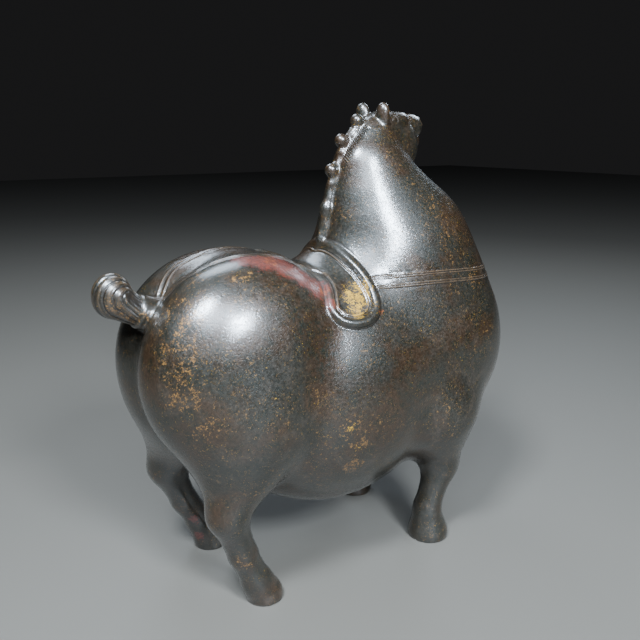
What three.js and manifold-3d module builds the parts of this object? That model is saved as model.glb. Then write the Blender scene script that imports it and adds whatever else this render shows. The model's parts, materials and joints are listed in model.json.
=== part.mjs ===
// A cast bronze horse, stout and glossy, standing square on four short legs.
// It looks up and round to its left, with a hogged and knotted mane, a dished saddle with round
// flaps, a breast strap, two crupper straps and a docked tail rolled up like a snail shell.
// Millimetres. +X is forward, +Y is the horse's left, +Z is up, and the soles stand on Z = 0.

import * as THREE from 'three';
import Module from 'manifold-3d';

const wasm = await Module();
wasm.setup();

// Driving dimensions

const CELL = 4; // grid step of the skin
const TAIL_CELL = 1; // grid step of the tail's locks
const REACH = { low: [-128, -72, -15], high: [146, 72, 292] }; // runs below the floor, then is cut flat
const TAIL_REACH = { low: [-139, -13, 158], high: [-94, 13, 199] };
const EVENING_ROUNDS = 4;
const TRIANGLES = 9800; // what the finished casting is thinned out to
const MOST_TURN = 0.35; // cosine of the most that a face may turn while thinning
const EVENNESS = 2e-5; // how much thinning prefers short edges

// The great masses: centre, half sizes and lean about Y in degrees
const RUMP = { at: [-46.6, 0, 140.3], half: [51.2, 39.9, 59], lean: 0 };
const HAUNCH = { at: [-59.4, 17.6, 138.8], half: [60.8, 39.9, 60.8], lean: -12 };
const BARREL = { at: [4.5, 0, 114.1], half: [82.9, 64, 77.3], lean: 0 };
const CHEST = { at: [80.1, 0, 132.3], half: [57.8, 56.7, 69.1], lean: -8 };

// Neck: stations up its middle line as x, z and radius, narrower across than along
const NECK = [
  [58.7, 182.7, 56.4],
  [46.5, 211.9, 35.9],
  [38.6, 241.1, 25],
];
const NECK_ACROSS = 0.8;

// Legs: stations from the body to the sole as x, y, z and radius
const FORE_RIGHT = [
  [67.3, 37.6, 90.4, 24.8],
  [74.4, 36.4, 50.7, 9.9],
  [64, 36.4, 20, 8.2],
  [65.9, 36.4, 3, 13.4],
];
const FORE_LEFT = [
  [67.3, 37.6, 90.4, 24.8],
  [71.8, 38.6, 50.7, 9.9],
  [59.8, 41, 20, 8.2],
  [61.5, 41.5, 3, 13],
];
const HIND_RIGHT = [
  [-61.5, 24.5, 110, 33.5],
  [-82.2, 33.3, 61, 10.2],
  [-72.9, 32.3, 33, 8],
  [-64.3, 32.3, 12.2, 8.8],
  [-59.3, 32.3, 2, 11.1],
];
const HIND_LEFT = [
  [-69.3, 26.2, 114, 35.7],
  [-89, 36.2, 63.4, 10.2],
  [-78.2, 36.9, 36.4, 8],
  [-67.7, 36.9, 18.9, 8.8],
  [-61, 36.9, 2, 11.1],
];

// How softly the masses run into each other
const SOFT = {
  chest: 30,
  neck: 20.5,
  neckStations: 14,
  foreleg: 20,
  knee: 10,
  pastern: 5,
  haunch: 20,
  hock: 8,
  heel: 4,
  cleft: 5,
  rump: 10,
  flankCrease: 7,
  throat: 6,
  skull: 6,
  jowl: 5,
  brow: 3,
  muzzle: 5,
  chin: 3,
  tail: 5,
};

// Head: its own axes start at the poll, turned to the left and tipped up
const POLL = [40, 0, 273.8];
const HEAD_TURN = 21;
const HEAD_TIP = 3.5;
const SKULL = { at: [7, 0, -12], half: [20, 12, 14] };
const JOWL = { at: [24, 5, -20.8], half: [16, 10.3, 15.2] };
const BROW = { at: [19, 6.5, -3.5], half: [9, 5, 4.5] };
const NOSE = [
  [14, -10, 11.5],
  [38, -10, 8.2],
];
const NOSE_ACROSS = 0.85;
const MUZZLE = { at: [43.8, 0, -9.2], half: [11, 9, 8.5] };
const CHIN = { at: [45.6, 0, -18.5], half: [9.4, 6.6, 6] };
const EYE = { at: [16, 10.2, -8], half: [3.4, 2.8, 2.8] };
const NOSTRIL = { at: [50, 6.4, -5.5], half: [2.4, 2, 1.8] };
const MOUTH = { from: [34, -15.5], to: [58, -14], half: [14, 0.8] };
const MOUTH_KEPT = { at: [42.5, 0, -14.5], half: [10.4, 6.4, 6] }; // the cut stops at this core
const EAR = { at: [0.5, 6.5, -2.5], radius: 4.7, tall: 10.2, lean: 6, flat: 0.8 };

// Mane: knots and the crest between them, on the middle plane as x, z and radius
const KNOTS = [
  [6.4, 220, 4.1],
  [10, 242.4, 4],
  [17, 259.4, 4],
  [28.4, 270.8, 4],
];
const CREST = [
  [2, 203],
  [6, 222],
  [11.5, 242],
  [19, 258],
  [30, 270],
];
const CREST_HALF_WIDTH = 2.1;
const CREST_PROUD = 2.2;
const CREST_SUNK = 6;

// Tail: a cuffed dock and a curl, whose locks run out of the cuff and wind round the curl's eye
const DOCK = { from: [-97, 0, 168], to: [-113.5, 0, 173.9], radius: 9.2, fatter: 0.1 };
const TAIL = { from: [-106, 0, 171], to: [-117, 0, 176], radius: 8 };
const CURL = { at: [-125.8, 0, 183.5], half: [10.2, 9.6, 11.7] };
const CURL_EYE = [-118, 0, 183.5];
const LOCKS = 3; // from the eye out to the rim
const LOCK_DEPTH = 0.6;
const LOCK_FADE = 5; // the locks die away this close to the eye

// Saddle: rim stations around the back, as degrees down from the top and x of each edge
const BACK_AXIS_Z = 120;
const SADDLE_EDGE = [
  { down: 0, rear: -40, front: 1 },
  { down: 9, rear: -26, front: 3.5 },
  { down: 18, rear: -15.5, front: 6.5 },
  { down: 26, rear: -14, front: 9.5 },
  { down: 34, rear: -17, front: 11 },
];
const FLAP = { x: -4.2, down: 38.5, radius: 14.9, fromAxis: 75, opening: 0.2 };
const RIM_RADIUS = 3.1;
const RIM_PROUD = { top: 0.8, flap: 2.9, from: 12, to: 32 };

// Straps: a band with two raised edges
const STRAP = { halfWidth: 3.7, proud: 1.2, sunk: 2.5, edge: 1.2 };
const BREAST_AXIS_X = 60;
const BREAST_HEIGHTS = { flap: 179.5, side: 181, front: 176 };
const BREAST_START = 142; // degrees round from the front
const BREAST_STEPS = 40;
const CRUPPER = [
  [-100, 2.5],
  [-93.5, 8],
  [-86, 11.5],
  [-70, 12.5],
  [-56, 14.5],
  [-42, 15],
  [-25, 14],
];

const bronze = new THREE.MeshStandardMaterial({ color: 0x4b453d, roughness: 0.38, metalness: 0.85 });

// Distance fields

const clamp = (v, low, high) => Math.min(Math.max(v, low), high);

function softUnion(a, b, k) {
  const h = Math.max(k - Math.abs(a - b), 0) / k;
  return Math.min(a, b) - h * h * k * 0.25;
}

// An ellipsoid that leans about Y
function ellipsoid(at, half, lean = 0) {
  const toOwn = new THREE.Matrix4().makeRotationY(THREE.MathUtils.degToRad(-lean));
  const q = new THREE.Vector3();
  return (x, y, z) => {
    q.set(x - at[0], y - at[1], z - at[2]).applyMatrix4(toOwn);
    const near = Math.hypot(q.x / half[0], q.y / half[1], q.z / half[2]);
    const slope = Math.hypot(q.x / half[0] ** 2, q.y / half[1] ** 2, q.z / half[2] ** 2);
    return slope < 1e-9 ? -Math.min(...half) : (near * (near - 1)) / slope;
  };
}

// A tapering limb with round ends between two points
function limb(a, b, ra, rb, across = 1) {
  const ab = [b[0] - a[0], (b[1] - a[1]) / across, b[2] - a[2]];
  const length2 = ab[0] ** 2 + ab[1] ** 2 + ab[2] ** 2;
  const taper = ra - rb;
  const side2 = length2 - taper ** 2;
  return (x, y, z) => {
    const p = [x - a[0], (y - a[1]) / across, z - a[2]];
    const along = p[0] * ab[0] + p[1] * ab[1] + p[2] * ab[2];
    const rest = along - length2;
    const off = [0, 1, 2].map((i) => p[i] * length2 - ab[i] * along);
    const x2 = off[0] ** 2 + off[1] ** 2 + off[2] ** 2;
    const y2 = along ** 2 * length2;
    const z2 = rest ** 2 * length2;
    const k = Math.sign(taper) * taper ** 2 * x2;
    if (Math.sign(rest) * side2 * z2 > k) return Math.sqrt(x2 + z2) / length2 - rb;
    if (Math.sign(along) * side2 * y2 < k) return Math.sqrt(x2 + y2) / length2 - ra;
    return (Math.sqrt((x2 * side2) / length2) + along * taper) / length2 - ra;
  };
}

function leg(stations, side, softness) {
  const points = stations.map(([x, y, z]) => [x, side * y, z]);
  const pieces = [];
  for (let i = 0; i + 1 < stations.length; i++) {
    pieces.push(limb(points[i], points[i + 1], stations[i][3], stations[i + 1][3]));
  }
  return (x, y, z) => {
    let d = pieces[0](x, y, z);
    for (let i = 1; i < pieces.length; i++) d = softUnion(d, pieces[i](x, y, z), softness[i - 1]);
    return d;
  };
}

function hindquarter(stations, side) {
  const { at, half, lean } = HAUNCH;
  const mass = ellipsoid([at[0], side * at[1], at[2]], half, lean);
  const [thigh, ...rest] = stations;
  const upper = leg([thigh, rest[0]], side, []);
  const lower = leg(rest, side, [SOFT.heel, SOFT.heel]);
  return (x, y, z) => {
    const d = softUnion(mass(x, y, z), upper(x, y, z), SOFT.haunch);
    return softUnion(d, lower(x, y, z), SOFT.hock);
  };
}

// Head frame: along, left and up from the poll
const headFrame = new THREE.Matrix4()
  .makeTranslation(...POLL)
  .multiply(new THREE.Matrix4().makeRotationZ(THREE.MathUtils.degToRad(HEAD_TURN)))
  .multiply(new THREE.Matrix4().makeRotationY(THREE.MathUtils.degToRad(-HEAD_TIP)));
const headInverse = headFrame.clone().invert();
const mirrored = (p, side) => [p[0], side * p[1], p[2]];

const head = (() => {
  const skull = ellipsoid(SKULL.at, SKULL.half);
  const jowl = ellipsoid(JOWL.at, JOWL.half);
  const brow = ellipsoid(BROW.at, BROW.half);
  const [[x0, z0, r0], [x1, z1, r1]] = NOSE;
  const nose = limb([x0, 0, z0], [x1, 0, z1], r0, r1, NOSE_ACROSS);
  const muzzle = ellipsoid(MUZZLE.at, MUZZLE.half);
  const chin = ellipsoid(CHIN.at, CHIN.half);
  const q = new THREE.Vector3();
  return (x, y, z) => {
    q.set(x, y, z).applyMatrix4(headInverse);
    const side = Math.abs(q.y);
    let d = softUnion(skull(q.x, q.y, q.z), nose(q.x, q.y, q.z), SOFT.skull);
    d = softUnion(d, jowl(q.x, side, q.z), SOFT.jowl);
    d = softUnion(d, brow(q.x, side, q.z), SOFT.brow);
    d = softUnion(d, muzzle(q.x, q.y, q.z), SOFT.muzzle);
    return softUnion(d, chin(q.x, q.y, q.z), SOFT.chin);
  };
})();

const body = (() => {
  const rump = ellipsoid(RUMP.at, RUMP.half, RUMP.lean);
  const barrel = ellipsoid(BARREL.at, BARREL.half, BARREL.lean);
  const chest = ellipsoid(CHEST.at, CHEST.half, CHEST.lean);
  const [n0, n1, n2] = NECK.map(([x, z]) => [x, 0, z]);
  const neckLow = limb(n0, n1, NECK[0][2], NECK[1][2], NECK_ACROSS);
  const neckHigh = limb(n1, n2, NECK[1][2], NECK[2][2], NECK_ACROSS);
  const foreSoft = [SOFT.knee, SOFT.pastern];
  const foreRight = leg(FORE_RIGHT, -1, foreSoft);
  const foreLeft = leg(FORE_LEFT, 1, foreSoft);
  const hindRight = hindquarter(HIND_RIGHT, -1);
  const hindLeft = hindquarter(HIND_LEFT, 1);
  return (x, y, z) => {
    const neck = softUnion(neckLow(x, y, z), neckHigh(x, y, z), SOFT.neckStations);
    let front = softUnion(barrel(x, y, z), chest(x, y, z), SOFT.chest);
    front = softUnion(front, neck, SOFT.neck);
    const forelegs = Math.min(foreRight(x, y, z), foreLeft(x, y, z));
    front = softUnion(front, forelegs, SOFT.foreleg);
    const hinds = softUnion(hindRight(x, y, z), hindLeft(x, y, z), SOFT.cleft);
    const hind = softUnion(hinds, rump(x, y, z), SOFT.rump);
    return softUnion(front, hind, SOFT.flankCrease);
  };
})();

const skin = (x, y, z) => softUnion(body(x, y, z), head(x, y, z), SOFT.throat);

function slope(field, p, step = 0.4) {
  const g = new THREE.Vector3(
    field(p.x + step, p.y, p.z) - field(p.x - step, p.y, p.z),
    field(p.x, p.y + step, p.z) - field(p.x, p.y - step, p.z),
    field(p.x, p.y, p.z + step) - field(p.x, p.y, p.z - step),
  );
  return g.divideScalar(2 * step);
}

function settle(field, p, rounds = 3) {
  for (let i = 0; i < rounds; i++) {
    const g = slope(field, p);
    p.addScaledVector(g, -field(p.x, p.y, p.z) / Math.max(g.lengthSq(), 0.2));
  }
  return p;
}

// The skin of a field as a closed mesh: one vertex in each grid cell that it crosses
function skinMesh(field, { low, high }, cell) {
  const count = low.map((v, i) => Math.ceil((high[i] - v) / cell) + 1);
  const [nx, ny, nz] = count;
  const index = (i, j, k) => (k * ny + j) * nx + i;
  const values = new Float64Array(nx * ny * nz);
  for (let k = 0; k < nz; k++) {
    for (let j = 0; j < ny; j++) {
      for (let i = 0; i < nx; i++) {
        values[index(i, j, k)] = field(low[0] + i * cell, low[1] + j * cell, low[2] + k * cell);
      }
    }
  }
  const steps = [index(1, 0, 0), index(0, 1, 0), index(0, 0, 1)];
  const corners = [0, 1, 2, 3, 4, 5, 6, 7].map((c) => [c & 1, (c >> 1) & 1, (c >> 2) & 1]);
  const vertexOf = new Map();
  const points = [];
  for (let k = 0; k + 1 < nz; k++) {
    for (let j = 0; j + 1 < ny; j++) {
      for (let i = 0; i + 1 < nx; i++) {
        const at = index(i, j, k);
        const v = corners.map(([a, b, c]) => values[at + a * steps[0] + b * steps[1] + c * steps[2]]);
        const inside = v.filter((d) => d < 0).length;
        if (inside === 0 || inside === 8) continue;
        const sum = new THREE.Vector3();
        let crossings = 0;
        for (let c = 0; c < 8; c++) {
          for (let axis = 0; axis < 3; axis++) {
            const other = c | (1 << axis);
            if (other === c || v[c] < 0 === v[other] < 0) continue;
            const t = v[c] / (v[c] - v[other]);
            const q = new THREE.Vector3(...corners[c]);
            q.setComponent(axis, t);
            sum.add(q);
            crossings++;
          }
        }
        sum.divideScalar(crossings).add(new THREE.Vector3(i, j, k)).multiplyScalar(cell);
        vertexOf.set(at, points.length);
        points.push(sum.add(new THREE.Vector3(...low)));
      }
    }
  }
  const quads = [];
  for (const at of vertexOf.keys()) {
    for (let axis = 0; axis < 3; axis++) {
      const u = steps[(axis + 1) % 3];
      const w = steps[(axis + 2) % 3];
      const a = values[at];
      const b = values[at + steps[axis]];
      if (a < 0 === b < 0) continue;
      const ring = [at, at - u, at - u - w, at - w].map((cellAt) => vertexOf.get(cellAt));
      quads.push(a < 0 ? ring : ring.reverse());
    }
  }
  return { points, quads };
}

// Even out the grid's vertices along the skin, then bring them back onto it
function relax(field, { points, quads }, rounds) {
  const near = points.map(() => new Set());
  for (const q of quads) {
    for (let i = 0; i < 4; i++) {
      near[q[i]].add(q[(i + 1) % 4]);
      near[q[(i + 1) % 4]].add(q[i]);
    }
  }
  for (let round = 0; round < rounds; round++) {
    const moved = points.map((p, i) => {
      const mean = new THREE.Vector3();
      for (const n of near[i]) mean.add(points[n]);
      return mean.divideScalar(near[i].size).lerp(p, 0.4);
    });
    moved.forEach((p, i) => points[i].copy(settle(field, p, 2)));
  }
  points.forEach((p) => settle(field, p));
}

function solidOfTriangles(points, triangles) {
  const vertProperties = new Float32Array(points.flatMap((p) => [p.x, p.y, p.z]));
  const triVerts = new Uint32Array(triangles.flat());
  return new wasm.Manifold(new wasm.Mesh({ numProp: 3, vertProperties, triVerts }));
}

function skinSolid(field, reach, cell) {
  const mesh = skinMesh(field, reach, cell);
  relax(field, mesh, EVENING_ROUNDS);
  const { points, quads } = mesh;
  const triangles = quads.flatMap(([a, b, c, d]) => {
    const short = points[a].distanceToSquared(points[c]) < points[b].distanceToSquared(points[d]);
    return short ? [[a, b, c], [a, c, d]] : [[a, b, d], [b, c, d]];
  });
  return solidOfTriangles(points, triangles);
}

// A solid from rings of points with equal counts, closed by its two end rings
function ringSolid(rings) {
  const n = rings[0].length;
  const triangles = [];
  for (let r = 0; r + 1 < rings.length; r++) {
    for (let i = 0; i < n; i++) {
      const a = r * n + i;
      const b = r * n + ((i + 1) % n);
      triangles.push([a, b, b + n], [a, b + n, a + n]);
    }
  }
  const last = (rings.length - 1) * n;
  for (let i = 1; i + 1 < n; i++) {
    triangles.push([0, i + 1, i], [last, last + i, last + i + 1]);
  }
  return solidOfTriangles(rings.flat(), triangles);
}

// A section swept along stations that each have a place, a way across and a way out
function sweep(stations, section) {
  const rings = stations.map(({ at, across, out }) =>
    section.map(([a, o]) => at.clone().addScaledVector(across, a).addScaledVector(out, o)),
  );
  return ringSolid(rings);
}

function withFrames(places, outward) {
  return places.map((at, i) => {
    const before = places[Math.max(i - 1, 0)];
    const after = places[Math.min(i + 1, places.length - 1)];
    const along = after.clone().sub(before).normalize();
    const out = outward(at, i).normalize();
    const across = new THREE.Vector3().crossVectors(along, out).normalize();
    out.crossVectors(across, along).normalize();
    return { at, across, out };
  });
}

function roundSection(radius, sides) {
  return Array.from({ length: sides }, (_, i) => {
    const t = (-2 * Math.PI * i) / sides;
    return [radius * Math.cos(t), radius * Math.sin(t)];
  });
}

// Where a straight line from outside first meets the body
function meet(from, way) {
  const p = from.clone();
  for (let i = 0; i < 200; i++) {
    const d = body(p.x, p.y, p.z);
    if (Math.abs(d) < 0.02) break;
    p.addScaledVector(way, d * 0.8);
  }
  return p;
}

function smoothRow(rows, count) {
  const curve = new THREE.CatmullRomCurve3(rows.map((row) => new THREE.Vector3(...row)));
  return curve.getSpacedPoints(count);
}

// A point of the back: x along, and the angle down from the top towards one side
function onBack(x, down, side) {
  const a = THREE.MathUtils.degToRad(down);
  const way = new THREE.Vector3(0, -side * Math.sin(a), -Math.cos(a));
  const from = new THREE.Vector3(x, 0, BACK_AXIS_Z).addScaledVector(way, -110);
  return meet(from, way);
}

const bodyNormal = (p) => slope(body, p, 1.2);

// Saddle rim: from the middle of the back down one edge, round the flap and up the other
function rimOutline() {
  const rows = SADDLE_EDGE.map(({ down, rear }) => [rear, down, 0]);
  const steps = 12;
  for (let i = 1; i < steps; i++) {
    const a = Math.PI + FLAP.opening - ((Math.PI + 2 * FLAP.opening) * i) / steps;
    const below = THREE.MathUtils.radToDeg((FLAP.radius * Math.sin(a)) / FLAP.fromAxis);
    rows.push([FLAP.x + FLAP.radius * Math.cos(a), FLAP.down + below, 0]);
  }
  rows.push(...SADDLE_EDGE.map(({ down, front }) => [front, down, 0]).reverse());
  return smoothRow(rows, 4 * steps);
}

function saddleRims() {
  const oneSide = rimOutline();
  const right = oneSide.map((p) => onBack(p.x, p.y, -1));
  const left = oneSide.slice(1, -1).map((p) => onBack(p.x, p.y, 1)).reverse();
  const places = [...right, ...left];
  const downs = [...oneSide.map((p) => p.y), ...oneSide.slice(1, -1).map((p) => p.y).reverse()];
  const n = places.length;
  const stations = places.map((at, i) => {
    const along = places[(i + 1) % n].clone().sub(places[(i + n - 1) % n]).normalize();
    const out = bodyNormal(at).normalize();
    const across = new THREE.Vector3().crossVectors(along, out).normalize();
    const t = clamp((downs[i] - RIM_PROUD.from) / (RIM_PROUD.to - RIM_PROUD.from), 0, 1);
    const proud = RIM_PROUD.top + (RIM_PROUD.flap - RIM_PROUD.top) * t;
    return { at: at.clone().addScaledVector(out, proud - RIM_RADIUS), across, out };
  });
  const section = roundSection(RIM_RADIUS, 8);
  const rings = stations.map(({ at, across, out }) =>
    section.map(([a, o]) => at.clone().addScaledVector(across, a).addScaledVector(out, o)),
  );
  const count = section.length;
  const triangles = [];
  for (let r = 0; r < n; r++) {
    for (let i = 0; i < count; i++) {
      const a = r * count + i;
      const b = r * count + ((i + 1) % count);
      const c = ((r + 1) % n) * count + i;
      const d = ((r + 1) % n) * count + ((i + 1) % count);
      triangles.push([a, b, d], [a, d, c]);
    }
  }
  return solidOfTriangles(rings.flat(), triangles);
}

const STRAP_SECTION = (() => {
  const { halfWidth: w, proud: top, sunk, edge } = STRAP;
  return [
    [w, -sunk],
    [-w, -sunk],
    [-w, top * 0.5],
    [-w + edge * 0.5, top],
    [-w + edge, top * 0.35],
    [w - edge, top * 0.35],
    [w - edge * 0.5, top],
    [w, top * 0.5],
  ];
})();

function breastStrap() {
  const places = [];
  for (let i = 0; i <= BREAST_STEPS; i++) {
    const a = THREE.MathUtils.degToRad(BREAST_START * (1 - (2 * i) / BREAST_STEPS));
    const front = Math.cos(a * 0.5) ** 2;
    const aside = Math.sin(a) ** 2;
    const { flap, side, front: height } = BREAST_HEIGHTS;
    const z = flap + (height - flap) * front + (side - (flap + height) / 2) * aside;
    const way = new THREE.Vector3(-Math.cos(a), -Math.sin(a), 0);
    places.push(meet(new THREE.Vector3(BREAST_AXIS_X, 0, z).addScaledVector(way, -120), way));
  }
  return sweep(withFrames(places, bodyNormal), STRAP_SECTION);
}

function crupperStrap(side) {
  const down = new THREE.Vector3(0, 0, -1);
  const rows = smoothRow(CRUPPER.map(([x, y]) => [x, side * y, REACH.high[2]]), 14);
  const places = rows.map((p) => meet(p, down));
  return sweep(withFrames(places, bodyNormal), STRAP_SECTION);
}

function solidOfGeometry(shape, matrix) {
  const places = shape.attributes.position;
  const seen = new Map();
  const points = [];
  const order = [];
  for (let i = 0; i < places.count; i++) {
    const p = new THREE.Vector3().fromBufferAttribute(places, i);
    const key = [p.x, p.y, p.z].map((v) => Math.round(v * 1e4) + 0).join(' ');
    if (!seen.has(key)) {
      seen.set(key, points.length);
      points.push(p.applyMatrix4(matrix));
    }
    order.push(seen.get(key));
  }
  const corner = shape.index ? Array.from(shape.index.array, (i) => order[i]) : order;
  const triangles = [];
  for (let i = 0; i < corner.length; i += 3) {
    const triangle = corner.slice(i, i + 3);
    if (new Set(triangle).size === 3) triangles.push(triangle);
  }
  return solidOfTriangles(points, triangles);
}

function ball({ at, half }, frame = new THREE.Matrix4()) {
  const matrix = frame.clone().multiply(new THREE.Matrix4().makeTranslation(...at));
  return solidOfGeometry(new THREE.IcosahedronGeometry(1, 2), matrix.scale(new THREE.Vector3(...half)));
}

function mane() {
  const solids = KNOTS.map(([x, z, r]) => ball({ at: [x, 0, z], half: [r, r, r] }));
  const line = smoothRow(CREST.map(([x, z]) => [x, 0, z]), 24);
  const back = () => new THREE.Vector3(-1, 0, 0.35);
  const w = CREST_HALF_WIDTH;
  const shoulder = 0.5;
  const section = [
    [w, -CREST_SUNK],
    [-w, -CREST_SUNK],
    [-w, shoulder],
    [-w * shoulder, CREST_PROUD],
    [w * shoulder, CREST_PROUD],
    [w, shoulder],
  ];
  solids.push(sweep(withFrames(line, back), section));
  return solids;
}

function ears() {
  return [-1, 1].map((side) => {
    const rows = [new THREE.Vector2(0, 0)];
    for (const t of [0, 0.3, 0.55, 0.75, 0.92]) {
      rows.push(new THREE.Vector2(EAR.radius * Math.sqrt(1 - t ** 3), t * EAR.tall));
    }
    rows.push(new THREE.Vector2(0, EAR.tall));
    const shape = new THREE.LatheGeometry(rows, 12);
    const stand = new THREE.Matrix4().makeRotationX(THREE.MathUtils.degToRad(90 - side * EAR.lean));
    const place = new THREE.Matrix4().makeTranslation(...mirrored(EAR.at, side));
    const matrix = headFrame.clone().multiply(place).multiply(stand);
    return solidOfGeometry(shape, matrix.scale(new THREE.Vector3(EAR.flat, 1, 1)));
  });
}

const headBall = ({ at, half }, side) => ball({ at: mirrored(at, side), half }, headFrame);

// A thin wedge across the muzzle, which parts the lips
function mouth() {
  const [x0, z0] = MOUTH.from;
  const [x1, z1] = MOUTH.to;
  const [halfY, halfZ] = MOUTH.half;
  const shape = new THREE.BoxGeometry(x1 - x0, 2 * halfY, 2 * halfZ);
  const matrix = new THREE.Matrix4()
    .makeTranslation((x0 + x1) / 2, 0, (z0 + z1) / 2)
    .multiply(new THREE.Matrix4().makeRotationY(-Math.atan2(z1 - z0, x1 - x0)));
  const wedge = solidOfGeometry(shape, headFrame.clone().multiply(matrix));
  return wedge.subtract(headBall(MOUTH_KEPT, 1));
}

const tailField = (() => {
  const curl = ellipsoid(CURL.at, CURL.half);
  const root = limb(TAIL.from, TAIL.to, TAIL.radius, TAIL.radius);
  const [ex, , ez] = CURL_EYE;
  const back = new THREE.Vector2(TAIL.from[0] - ex, TAIL.from[2] - ez).normalize();
  return (x, y, z) => {
    const hull = softUnion(curl(x, y, z), root(x, y, z), SOFT.tail);
    if (Math.abs(hull) > 4) return hull;
    const px = x - ex;
    const pz = z - ez;
    const along = Math.max(px * back.x + pz * back.y, 0);
    const fromEye = Math.hypot(px - back.x * along, pz - back.y * along);
    const tilt = Math.atan2(fromEye / CURL.half[0], Math.abs(y) / CURL.half[1]);
    const wind = Math.atan2(pz, px);
    return hull - LOCK_DEPTH * Math.cos(4 * LOCKS * tilt - wind) * Math.min(fromEye / LOCK_FADE, 1);
  };
})();

function tail() {
  const from = new THREE.Vector3(...DOCK.from);
  const to = new THREE.Vector3(...DOCK.to);
  const cuff = [];
  for (let i = 0; i <= 4; i++) cuff.push(from.clone().lerp(to, i / 4));
  const up = () => new THREE.Vector3(0, 0, 1);
  const stations = withFrames(cuff, up);
  const rings = stations.map(({ at, across, out }, i) => {
    const fat = 1 + DOCK.fatter * Math.sin((Math.PI * i) / 4);
    return roundSection(DOCK.radius * fat, 16).map(([a, o]) =>
      at.clone().addScaledVector(across, a).addScaledVector(out, o),
    );
  });
  return [ringSolid(rings), skinSolid(tailField, TAIL_REACH, TAIL_CELL)];
}

const floorCut = solidOfGeometry(
  new THREE.BoxGeometry(400, 300, 60),
  new THREE.Matrix4().makeTranslation(0, 0, -30),
);

let casting = skinSolid(skin, REACH, CELL);
const added = [saddleRims(), breastStrap(), crupperStrap(-1), crupperStrap(1), ...mane(), ...ears()];
added.push(headBall(EYE, -1), headBall(EYE, 1), ...tail());
for (const solid of added) casting = casting.add(solid);
const cut = [headBall(NOSTRIL, -1), headBall(NOSTRIL, 1), mouth(), floorCut];
for (const solid of cut) casting = casting.subtract(solid);

// Collapses the edges that move the surface least until few enough triangles are left
function thinOut(solid, target) {
  const { vertProperties, triVerts } = solid.getMesh();
  const points = [];
  for (let i = 0; i < vertProperties.length; i += 3) {
    points.push(new THREE.Vector3().fromArray(vertProperties, i));
  }
  const faces = [];
  for (let i = 0; i < triVerts.length; i += 3) faces.push(Array.from(triVerts.slice(i, i + 3)));
  const around = points.map(() => new Set());
  faces.forEach((face, f) => face.forEach((v) => around[v].add(f)));
  const normalOf = ([a, b, c], swap = -1, place = null) => {
    const [p, q, r] = [a, b, c].map((v) => (v === swap ? place : points[v]));
    return new THREE.Vector3().crossVectors(q.clone().sub(p), r.clone().sub(p));
  };
  // A quadric holds the summed squared distances to planes, so fine work weighs as much as a broad side
  const quadrics = points.map(() => new Float64Array(10));
  for (const face of faces) {
    const n = normalOf(face);
    if (n.length() < 1e-9) continue;
    n.normalize();
    const d = -n.dot(points[face[0]]);
    const plane = [n.x, n.y, n.z, d];
    let k = 0;
    for (let i = 0; i < 4; i++) {
      for (let j = i; j < 4; j++, k++) {
        for (const v of face) quadrics[v][k] += plane[i] * plane[j];
      }
    }
  }
  const loss = (qa, qb, p) => {
    const v = [p.x, p.y, p.z, 1];
    let sum = 0;
    let k = 0;
    for (let i = 0; i < 4; i++) {
      for (let j = i; j < 4; j++, k++) sum += (i === j ? 1 : 2) * (qa[k] + qb[k]) * v[i] * v[j];
    }
    return sum;
  };
  const onFloor = (v) => Math.abs(points[v].z) < 1e-4;
  const stamp = points.map(() => 0);
  const heap = [];
  const swap = (i, j) => ([heap[i], heap[j]] = [heap[j], heap[i]]);
  const push = (item) => {
    heap.push(item);
    for (let i = heap.length - 1; i > 0; ) {
      const up = (i - 1) >> 1;
      if (heap[up].cost <= heap[i].cost) break;
      swap(i, up);
      i = up;
    }
  };
  const pop = () => {
    swap(0, heap.length - 1);
    const top = heap.pop();
    for (let i = 0; ; ) {
      let least = i;
      for (const down of [2 * i + 1, 2 * i + 2]) {
        if (down < heap.length && heap[down].cost < heap[least].cost) least = down;
      }
      if (least === i) break;
      swap(i, least);
      i = least;
    }
    return top;
  };
  const offer = (a, b) => {
    if (onFloor(a) !== onFloor(b)) return;
    const middle = points[a].clone().lerp(points[b], 0.5);
    const size = points[a].distanceToSquared(points[b]);
    let best = null;
    for (const place of [middle, points[a], points[b]]) {
      const cost = loss(quadrics[a], quadrics[b], place) + EVENNESS * size * size;
      if (!best || cost < best.cost) best = { cost, place: place.clone() };
    }
    push({ ...best, a, b, when: stamp[a] + stamp[b] });
  };
  const neighbours = (v) => {
    const out = new Set();
    for (const f of around[v]) for (const w of faces[f]) if (w !== v) out.add(w);
    return out;
  };
  points.forEach((_, v) => neighbours(v).forEach((w) => v < w && offer(v, w)));
  let left = faces.length;
  while (left > target && heap.length > 0) {
    const { a, b, place, when } = pop();
    if (!around[a] || !around[b] || stamp[a] + stamp[b] !== when) continue;
    const near = neighbours(a);
    const shared = [...neighbours(b)].filter((w) => near.has(w));
    const lost = [...around[a]].filter((f) => around[b].has(f));
    if (shared.length !== 2 || lost.length !== 2) continue;
    const turned = (v) =>
      [...around[v]].some((f) => {
        if (lost.includes(f)) return false;
        const before = normalOf(faces[f]);
        const after = normalOf(faces[f], v, place);
        return before.dot(after) < MOST_TURN * before.length() * after.length() || after.length() < 1e-3;
      });
    if (turned(a) || turned(b)) continue;
    points[a].copy(place);
    for (let k = 0; k < 10; k++) quadrics[a][k] += quadrics[b][k];
    for (const f of lost) for (const v of faces[f]) around[v].delete(f);
    for (const f of lost) faces[f] = null;
    for (const f of around[b]) {
      faces[f] = faces[f].map((v) => (v === b ? a : v));
      around[a].add(f);
    }
    around[b] = null;
    left -= 2;
    stamp[a] += 1;
    neighbours(a).forEach((w) => offer(a, w));
  }
  return solidOfTriangles(points, faces.filter(Boolean));
}

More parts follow.
